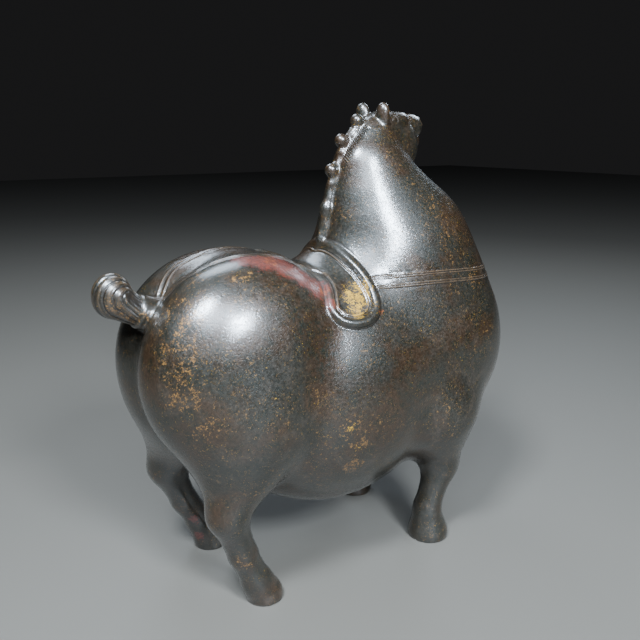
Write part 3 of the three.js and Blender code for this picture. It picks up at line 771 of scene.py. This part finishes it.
def marks(d, rows):
    return sum(share * mark((d - at) / wide) for at, wide, share in rows)


def bumps(p, size):
    return np.array([noise.noise(Vector(point / size)) for point in p])


def strap_marks(d):
    beads, grooves = marks(d, STRAP_BEADS), marks(d, STRAP_GROOVES)
    band = fade(d, STRAP_EDGE, STRAP_EDGE_FADE)
    return 0.34 * beads - 0.2 * grooves + 0.16 * band, beads, grooves


def crupper_marks(d):
    beads, grooves = marks(d, CRUPPER_BEADS), marks(d, CRUPPER_GROOVES)
    return 0.3 * beads - 0.16 * grooves, 0.7 * beads, 0.8 * grooves


print("height of the breast strap's outer bead:", strap_marks(np.array([3.5]))[0].round(2), "mm")

# %% Chase the straps
points = read_points(casting.data)
head_points = (points - POLL) @ HEAD_AXES
head_half = mirror_half(head_points)
inside = into_seat(points)
off_seat = ramp(-inside, 1.5, 1.5)
off_tail = ramp(cuff(points), 0.3, 1.5)
breast = strap_marks(nearest(points, breast_strap)[0])
crupper = crupper_marks(nearest(points, crupper_straps)[0])
handmade = (1 + 0.7 * bumps(points, 7)) * off_seat * off_tail
height, proud, deep = [(a + b) * handmade for a, b in zip(breast, crupper)]
print("the straps stand", round(float(height.max()), 2), "mm proud at most")

# %% Chase the saddle's rim
RIM_BEAD = [(4.9, 0.65, 1)]
RIM_MOAT = [(3.9, 0.7, 1), (5.9, 0.6, 0.6)]
RIM_OUTSIDE = [(-3.6, 0.9, 1)]
RIM_NEAR = 9

near_rim = (nearest(points, rim_line)[0] < RIM_NEAR).astype(float)
bead = marks(inside, RIM_BEAD) * near_rim
moat = marks(inside, RIM_MOAT) * near_rim
outside = marks(inside, RIM_OUTSIDE) * near_rim
height += 0.55 * bead - 0.4 * moat - 0.2 * outside
proud, deep = np.maximum(proud, bead), np.maximum(deep, moat + outside)
print("the rim's bead runs through", int((bead > 0.5).sum()), "points")

# %% Chase the mane
HATCH_PITCH = 1.5
HATCH_SLANT = -0.5
HATCH_END = 238
HATCH_FROM, HATCH_FROM_FADE = 3.8, 0.8
HATCH_TO, HATCH_TO_FADE = 10, 2.5
HATCH_ABOVE, HATCH_ABOVE_FADE = 246, 8
HATCH_DEPTH = 0.5
CREST_LUMPS = 0.9

to_crest, i = nearest(points, crest_line)
along = i * np.linalg.norm(np.diff(crest_line, axis=0), axis=1).mean()
off_knots = ramp(np.min([knot(points) for knot in knots], axis=0), 0.8, 1)
wander = 0.5 * bumps(points, 6)
stroke = np.cos(2 * math.pi * (along + wander - HATCH_SLANT * to_crest) / HATCH_PITCH)
band = ramp(to_crest, HATCH_FROM, HATCH_FROM_FADE) * fade(to_crest, HATCH_TO, HATCH_TO_FADE)
band *= ramp(points[:, 2], HATCH_ABOVE, HATCH_ABOVE_FADE) * off_knots * (i < HATCH_END)
cut = np.clip(0.3 - stroke, 0, 1) * band
height -= HATCH_DEPTH * cut
deep = np.maximum(deep, cut)
height += CREST_LUMPS * bumps(points, 5) * fade(to_crest, 5, 2) * off_knots
print("hatched", int((cut > 0.3).sum()), "points beside the crest")

# %% Chase the face
LID = [(1.1, 0.9, 1)]
LID_FOLD = [(0.3, 0.6, 1)]
CHEEK_FROM, CHEEK_FROM_FADE = 18, 10
CHEEK_TO, CHEEK_TO_FADE = 31.5, 0.9
CHEEK_ABOVE, CHEEK_ABOVE_FADE = -14, 3
CHEEK_OUT = 2.5
HEADSTALL = [(266.5, 0.7, 1)]
HEADSTALL_TO = 14
FLARE = [(0.9, 0.9, 1)]

to_eye = EYEBALL(head_half)
height += 0.15 * marks(to_eye, LID) - 0.12 * marks(to_eye, LID_FOLD)
x, z, out = head_points[:, 0], head_points[:, 2], head_half[:, 1]
cheek = fade(x, CHEEK_TO, CHEEK_TO_FADE) * ramp(x, CHEEK_FROM, CHEEK_FROM_FADE)
cheek *= ramp(z, CHEEK_ABOVE, CHEEK_ABOVE_FADE) * on_face(head_points)
height += 0.9 * cheek * (out > CHEEK_OUT)
height += 0.35 * marks(points[:, 2], HEADSTALL) * ramp(out, 5, 3) * (x < HEADSTALL_TO)
flare = marks(NOSTRIL(head_half), FLARE)
height += 0.35 * flare
proud = np.maximum(proud, flare)
print("lids, cheeks, headstall and nostrils chased")

# %% [markdown]
# Hand work is never quite even, so the whole skin swells and sinks by a tenth of a millimetre, in
# wide and in narrow waves. Then all heights are pushed along the skin's normal, less and less
# towards the soles, so that the horse still stands flat, and no point leaves the solid's box.

# %% Push the heights into the casting
WIDE_WAVE, NARROW_WAVE = 26, 9
SOLE_FADE = 3

height += 0.16 * bumps(points, WIDE_WAVE) + 0.07 * bumps(points, NARROW_WAVE)
points = points + outward(skin, points) * (height * ramp(points[:, 2], 0, SOLE_FADE))[:, None]
low = np.array(cad_box[0]) / MM - SHIFT
high = np.array(cad_box[1]) / MM - SHIFT
points = np.clip(points, low, high)
write_points(casting.data, points)
in_grooves, on_beads = int((deep > 0.5).sum()), int((proud > 0.5).sum())
print("chased", in_grooves, "points in grooves and", on_beads, "on beads")

# %% [markdown]
# ## The wound tail
#
# The docked tail is wound up so tightly that its locks need squares of a third of a millimetre.
# They would be wasted on the rest, so the tail is a mesh of its own: three balls are melted into
# one by the remesh, walked onto the tail's hull, and combed. Its root ends inside the cuff, where
# nobody sees the joint. The locks leave the cuff, run along the underside, up the back and over the
# top into the eye of the curl, so their height depends on the way round the eye.

# %% Melt three balls into a curl
TAIL_VOXEL = 0.36
BALL_SIDES, BALL_RINGS = 32, 20
root_half = (TAIL_ROOT_RADIUS,) * 3
tail_balls = [(CURL_AT, CURL_HALF), (TAIL_ROOT_FROM, root_half), (TAIL_ROOT_TO, root_half)]

bpy.ops.object.select_all(action="DESELECT")
balls = []
for at, half in tail_balls:
    bpy.ops.mesh.primitive_uv_sphere_add(
        segments=BALL_SIDES,
        ring_count=BALL_RINGS,
        radius=1,
        location=[(at[0] + SHIFT_X) * MM, at[1] * MM, at[2] * MM],
        scale=[h * MM for h in half],
    )
    balls.append(bpy.context.active_object)
for ball in balls:
    ball.select_set(True)
bpy.ops.object.join()
curl = bpy.context.active_object
curl.name = curl.data.name = "tail_curl"
bpy.ops.object.transform_apply(location=True, rotation=True, scale=True)
even_squares(curl, TAIL_VOXEL)

# %% Comb the locks
LOCKS = 5
LOCK_DEPTH = 0.8
LOCK_ROUND = 0.6
LOCK_FADE = 4
HAIR_DEPTH = 0.2
HAIR_ROUND = 0.7
HAIRS = 1.5
COMB_LEVEL = 0.7

root_way = np.array([TAIL_ROOT_FROM[0] - CURL_EYE[0], TAIL_ROOT_FROM[2] - CURL_EYE[1]])
root_way /= np.linalg.norm(root_way)


def locks(p):
    flat = p[:, [0, 2]] - CURL_EYE
    along = np.maximum(flat @ root_way, 0)
    rest = flat - along[:, None] * root_way
    from_eye = np.hypot(rest[:, 0], rest[:, 1])
    tilt = np.arctan2(from_eye / CURL_HALF[0], np.abs(p[:, 1]) / CURL_HALF[1])
    wind = np.arctan2(flat[:, 1], flat[:, 0])
    away = ramp(from_eye, 0, LOCK_FADE)
    phase = 4 * LOCKS * tilt - wind
    lock = np.abs(np.sin(phase / 2)) ** LOCK_ROUND
    hair = np.abs(np.sin(HAIRS * phase)) ** HAIR_ROUND
    return lock * away, hair * away


points = settle(tail_hull, read_points(curl.data), 3)
lock, hair = locks(points)
height = LOCK_DEPTH * (lock - COMB_LEVEL) + HAIR_DEPTH * (hair - COMB_LEVEL)
curl_proud = np.clip((lock - 0.9) * 5, 0, 1)
# the partings between the locks are marked to be painted darker
curl_deep = np.clip((0.75 - lock) * 2.5, 0, 1)
points = np.clip(points + outward(tail_hull, points) * height[:, None], low, high)
write_points(curl.data, points)
print("locks combed into", len(points), "points")

# %% [markdown]
# ## What the pieces stand for
#
# Both meshes are one casting, so both replace the solid and ride on the only body.

# %% Ride and replace
def store(obj, name, values):
    layer = obj.data.attributes.new(name, "FLOAT", "POINT")
    layer.data.foreach_set("value", np.asarray(values, float))


store(casting, "proud", proud)
store(casting, "deep", deep)
store(curl, "proud", curl_proud)
store(curl, "deep", curl_deep)
for piece in (casting, curl):
    only(piece)
    bpy.ops.object.shade_smooth()
    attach(piece, "root")
    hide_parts("horse")
    piece.data.calc_loop_triangles()
    print(piece.name, "has", len(piece.data.loop_triangles), "triangles")

# %% [markdown]
# ## Where the patina has broken through
#
# An old patina isn't even. Behind the cantle a red-brown layer lies open, inside the flap and on
# the belly gold-yellow shows, and the outer edge of the rump is ochre where hands have been. They
# could be painted by hand, but each patch is only a handful of soft spots, a middle and a radius,
# stored on the points; the material makes their edges ragged.

# %% Patches
RED = [((-53, -25, 197), 9), ((-40, -27, 194), 12), ((-30, -31, 188), 11), ((-22, -34, 182), 9)]
RED += [((-62, -22, 199), 7), ((-19, -42, 174), 4), ((-76, 28, 25), 4), ((-73, 30, 12), 4)]
RUMP_OCHRE = [((-103, -27, 178), 10), ((-110, -34, 164), 11), ((-109, -40, 150), 11)]
RUMP_OCHRE += [((-108, -43, 137), 12), ((-99, -44, 160), 8), ((-100, -52, 118), 11)]
RUMP_OCHRE += [((-88, -22, 192), 7), ((-70, -33, 192), 8), ((-98, -36, 176), 9)]
RUMP_OCHRE += [((-93, -38, 186), 8), ((-106, -33, 168), 9), ((-98, 0, 176), 9)]
RUMP_OCHRE += [((-70, -12, 200), 8)]
NECK_OCHRE = [((20, -20, 196), 10), ((16, -14, 214), 8), ((66, -34, 205), 13)]
NECK_OCHRE += [((60, -30, 222), 10), ((41, -18, 250), 6), ((84, -44, 176), 9)]
TAIL_OCHRE = [((-126, -9, 176), 9), ((-117, -9, 173), 8), ((-108, -9, 170), 8)]
BELLY_OCHRE = [((-20, -61, 105), 9), ((-12, -61, 96), 8), ((-13, -56, 81), 9)]
HOCK_OCHRE = [((-76, -41, 34), 7)]
OCHRE = RUMP_OCHRE + NECK_OCHRE + TAIL_OCHRE + BELLY_OCHRE + HOCK_OCHRE
GOLD = [((3, -38, 178), 7), ((1, -43, 172), 7), ((-5, -46, 168), 5), ((-4, -40, 176), 6)]
GOLD += [((-19, -62, 107), 2.5), ((-13, -62, 93), 2.5), ((-17, -60, 86), 2), ((66, -46, 178), 2)]
ORANGE = [((-18, -35, 180), 5), ((-16, -42, 172), 4), ((10, -48, 166), 4), ((-47, -24, 198), 7)]
GREEN = [((-12, -45, 167), 4), ((-40, -50, 170), 16), ((-33, -55, 150), 18), ((30, -60, 120), 20)]
PATCHES = {"red": RED, "ochre": OCHRE, "gold": GOLD, "orange": ORANGE, "green": GREEN}
SPOT_FADE = 1.5


def soft_spots(p, spots):
    value = np.zeros(len(p))
    for at, radius in spots:
        away = np.linalg.norm(p - at, axis=1)
        value = np.maximum(value, np.clip(SPOT_FADE - away / radius, 0, 1))
    return value


for piece in (casting, curl):
    places = read_points(piece.data)
    for name, spots in PATCHES.items():
        store(piece, name, soft_spots(places, spots))
print("patches of", sum(len(spots) for spots in PATCHES.values()), "spots")

# %% [markdown]
# ## The bronze
#
# The metal is never seen bare: what shows is a dark brown to grey-green patina under old wax. So
# the base is mixed from browns and greens by noise at several scales, sprinkled with ochre specks,
# opened at the patches, rubbed bright on the beads and darkened in the grooves. The wax is a clear
# coat. Fine pits and hair scratches are bump, because they are smaller than the mesh can hold.

# %% Helpers for the material
bronze = bpy.data.materials.new("patinated bronze")
bronze.use_nodes = True
tree = bronze.node_tree
shader = tree.nodes["Principled BSDF"]
place = tree.nodes.new("ShaderNodeTexCoord").outputs["Object"]


def join(value, socket):
    if isinstance(value, (int, float, tuple)):
        socket.default_value = value
    else:
        tree.links.new(value, socket)


def grain(scale, detail=4.0, roughness=0.6, stretch=None, twist=0.0, distortion=0.0):
    node = tree.nodes.new("ShaderNodeTexNoise")
    node.inputs["Scale"].default_value = scale
    node.inputs["Detail"].default_value = detail
    node.inputs["Roughness"].default_value = roughness
    node.inputs["Distortion"].default_value = distortion
    source = place
    if stretch:
        mapping = tree.nodes.new("ShaderNodeMapping")
        mapping.inputs["Scale"].default_value = stretch
        mapping.inputs["Rotation"].default_value = (twist, 0.5 * twist, 0.3 + twist)
        tree.links.new(place, mapping.inputs["Vector"])
        source = mapping.outputs["Vector"]
    tree.links.new(source, node.inputs["Vector"])
    return node.outputs["Fac"]


def level(value, low, high, to_low=0.0, to_high=1.0):
    node = tree.nodes.new("ShaderNodeMapRange")
    node.interpolation_type = "SMOOTHSTEP"
    numbers = {"From Min": low, "From Max": high, "To Min": to_low, "To Max": to_high}
    for socket, number in numbers.items():
        node.inputs[socket].default_value = number
    join(value, node.inputs["Value"])
    return node.outputs["Result"]


def sums(operation, a, b):
    node = tree.nodes.new("ShaderNodeMath")
    node.operation = operation
    join(a, node.inputs[0])
    join(b, node.inputs[1])
    return node.outputs[0]


def blend(factor, under, over, mode="MIX"):
    node = tree.nodes.new("ShaderNodeMix")
    node.data_type = "RGBA"
    node.blend_type = mode
    join(factor, node.inputs[0])
    join(under, node.inputs[6])
    join(over, node.inputs[7])
    return node.outputs[2]


def stored(name):
    node = tree.nodes.new("ShaderNodeAttribute")
    node.attribute_name = name
    return node.outputs["Fac"]


print("material helpers are ready")

# %% Ground colour of the patina
UMBER = (0.0175, 0.0092, 0.0042, 1)
SLATE = (0.0100, 0.0088, 0.0060, 1)
MOSS = (0.0036, 0.0050, 0.0030, 1)
FILM = (0.032, 0.024, 0.018, 1)
LIGHTEN = (2.2, 2.1, 2.0, 1)

broad = grain(26, 5, 0.62, distortion=0.4)
middle = grain(190, 7, 0.72)
fine = grain(620, 4, 0.7)
haze = grain(48, 7, 0.74, distortion=0.8)
colour = blend(level(broad, 0.38, 0.56), UMBER, SLATE)
colour = blend(level(middle, 0.46, 0.62, 0, 0.7), colour, MOSS)
colour = blend(level(haze, 0.5, 0.68, 0, 0.45), colour, FILM)
lighter = blend(1.0, colour, LIGHTEN, "MULTIPLY")
colour = blend(level(fine, 0.35, 0.7, 0, 0.6), colour, lighter)
print("ground colour mixed from four earths")

# %% Specks
OCHRE_EARTH = (0.25, 0.125, 0.034, 1)
GOLD_LEAF = (0.42, 0.23, 0.010, 1)

crumbs = grain(430, 5, 0.78)
cloud = grain(40, 3, 0.6)
dust = grain(1100, 4, 0.75)
coarse_specks = sums("MULTIPLY", level(crumbs, 0.585, 0.64), level(cloud, 0.44, 0.62))
fine_specks = sums("MULTIPLY", level(dust, 0.58, 0.64), level(middle, 0.44, 0.6))
speckle = sums("MAXIMUM", coarse_specks, fine_specks)
colour = blend(sums("MULTIPLY", speckle, 0.5), colour, OCHRE_EARTH)
sparks = sums("MULTIPLY", level(grain(900, 3, 0.8), 0.64, 0.7), level(grain(70, 2), 0.5, 0.62))
colour = blend(sums("MULTIPLY", sparks, 0.8), colour, GOLD_LEAF)
print("specks of ochre and sparks of gold sprinkled on")

# %% Ragged patches
RUST_RED = (0.105, 0.019, 0.010, 1)
ORANGE_EARTH = (0.24, 0.065, 0.016, 1)
VERDIGRIS = (0.010, 0.018, 0.015, 1)
DARKEN = (0.35, 0.3, 0.3, 1)

torn = sums("MULTIPLY", sums("SUBTRACT", grain(150, 7, 0.76), 0.5), 1.6)
torn = sums("ADD", torn, sums("MULTIPLY", sums("SUBTRACT", crumbs, 0.5), 1.7))
torn = sums("ADD", torn, sums("MULTIPLY", sums("SUBTRACT", dust, 0.5), 1.6))


def patch(colour, name, tint, weight, low, high, most):
    cover = level(sums("ADD", sums("MULTIPLY", stored(name), weight), torn), low, high)
    cover = sums("MULTIPLY", cover, level(stored(name), 0.02, 0.25))
    shade = blend(level(fine, 0.3, 0.7), tint, blend(1.0, tint, DARKEN, "MULTIPLY"))
    return blend(sums("MULTIPLY", cover, most), colour, shade)


colour = patch(colour, "green", VERDIGRIS, weight=0.5, low=0.4, high=0.8, most=0.6)
colour = patch(colour, "ochre", OCHRE_EARTH, weight=0.42, low=0.5, high=0.72, most=0.85)
colour = patch(colour, "red", RUST_RED, weight=0.85, low=0.42, high=0.6, most=0.9)
colour = patch(colour, "gold", GOLD_LEAF, weight=0.6, low=0.42, high=0.52, most=0.95)
colour = patch(colour, "orange", ORANGE_EARTH, weight=0.5, low=0.45, high=0.7, most=0.85)
print("five kinds of patches laid over the ground")

# %% Rubbed beads, darker grooves and wax
RUBBED = (0.10, 0.06, 0.032, 1)
GROOVE_DARK = (0.009, 0.006, 0.004, 1)
EARTH_ROUGHER = 0.16
METAL, EARTH_METAL = 0.3, 0.05

rubbed = sums("MULTIPLY", stored("proud"), level(middle, 0.35, 0.6, 0.2, 0.75))
colour = blend(rubbed, colour, RUBBED)
# grooves, hatching and the partings of the locks are painted in a darker colour, by their stored
# depth
colour = blend(sums("MULTIPLY", stored("deep"), 0.8), colour, GROOVE_DARK)
tree.links.new(colour, shader.inputs["Base Color"])
open_earth = sums("MAXIMUM", level(stored("red"), 0.3, 0.9), level(stored("gold"), 0.3, 0.9))
shine = sums("ADD", level(broad, 0.35, 0.7, 0.34, 0.42), level(fine, 0.3, 0.75, -0.04, 0.14))
rough = sums("ADD", shine, sums("MULTIPLY", open_earth, EARTH_ROUGHER))
tree.links.new(rough, shader.inputs["Roughness"])
tree.links.new(level(open_earth, 0, 1, METAL, EARTH_METAL), shader.inputs["Metallic"])
shader.inputs["Coat Weight"].default_value = 1.0
shader.inputs["Coat Roughness"].default_value = 0.14
shader.inputs["IOR"].default_value = 1.5
print("rubbed, groove_darkened and waxed")

# %% Pits and scratches
PIT_DEPTH = 0.0004
METAL_BUMP = 0.35
WAX_BUMP = 0.16

pits = level(grain(780, 3, 0.65), 0.28, 0.5)
scratch_a = level(grain(60, 2, 0.5, (3, 60, 60), 0.5), 0.47, 0.53)
scratch_b = level(grain(50, 2, 0.5, (50, 50, 2), -0.7), 0.47, 0.53)
relief = sums("ADD", sums("MULTIPLY", pits, 0.5), sums("MULTIPLY", middle, 0.9))
relief = sums("ADD", relief, sums("MULTIPLY", sums("ADD", scratch_a, scratch_b), 0.05))
for strength, socket in ((METAL_BUMP, "Normal"), (WAX_BUMP, "Coat Normal")):
    bump = tree.nodes.new("ShaderNodeBump")
    bump.inputs["Strength"].default_value = strength
    bump.inputs["Distance"].default_value = PIT_DEPTH
    tree.links.new(relief, bump.inputs["Height"])
    tree.links.new(bump.outputs["Normal"], shader.inputs[socket])
for piece in (casting, curl):
    piece.data.materials.clear()
    piece.data.materials.append(bronze)
print("bronze has", len(tree.nodes), "nodes")

# %% [markdown]
# ## Studio
#
# The blobs of light on the rump, the neck and the tail tell where the light stood. A ray from the
# eye to each blob, thrown back by the skin there, points at its lamp: one soft box high behind the
# right haunch, and one like a window to the right. A wide one between them gives the soft edge
# round both blobs, and two weak ones on the far side part the horse from the dark. All are cool
# white, over a plain pale floor.

# %% Soft boxes
COOL_WHITE = (0.72, 0.85, 1.0)


def soft_box(name, target, azimuth, elevation, away, size, watts):
    light = bpy.data.lights.new(name, "AREA")
    light.shape = "RECTANGLE"
    light.size, light.size_y = size
    light.energy = watts
    light.color = COOL_WHITE
    obj = bpy.data.objects.new(name, light)
    bpy.context.scene.collection.objects.link(obj)
    a, e = math.radians(azimuth), math.radians(elevation)
    way = Vector((math.cos(e) * math.cos(a), math.cos(e) * math.sin(a), math.sin(e)))
    obj.location = Vector(target) * MM + way * away
    obj.rotation_euler = (-way).to_track_quat("-Z", "Y").to_euler()


soft_box("soft_box_high", (-92, -37, 180), -145, 57, 0.95, (0.22, 0.22), 40)
soft_box("soft_box_window", (-40, -50, 180), -92, 33, 0.95, (0.20, 0.20), 38)
soft_box("soft_box_wide", (-20, -40, 190), -118, 44, 1.4, (0.7, 0.5), 30)
soft_box("soft_box_far", (-60, 0, 200), 78, 50, 1.2, (0.5, 0.5), 8)
soft_box("soft_box_rim", (60, 0, 200), 30, 28, 1.2, (0.3, 0.3), 3)
print("studio lit by", len(bpy.data.lights), "soft boxes")

# %% Floor and sky
FLOOR_SIZE = 8
FLOOR_PAINT = (0.085, 0.076, 0.063, 1)
SKY = (0.012, 0.012, 0.0125, 1)

bpy.ops.mesh.primitive_plane_add(size=FLOOR_SIZE, location=(0, 0, 0))
floor = bpy.context.active_object
floor.name = "studio_floor"
paint = bpy.data.materials.new("pale floor")
paint.use_nodes = True
coat = paint.node_tree.nodes["Principled BSDF"]
coat.inputs["Base Color"].default_value = FLOOR_PAINT
coat.inputs["Roughness"].default_value = 0.6
floor.data.materials.append(paint)
world = bpy.data.worlds.new("studio")
world.use_nodes = True
world.node_tree.nodes["Background"].inputs["Color"].default_value = SKY
bpy.context.scene.world = world
print("floor of", FLOOR_SIZE, "metres laid")
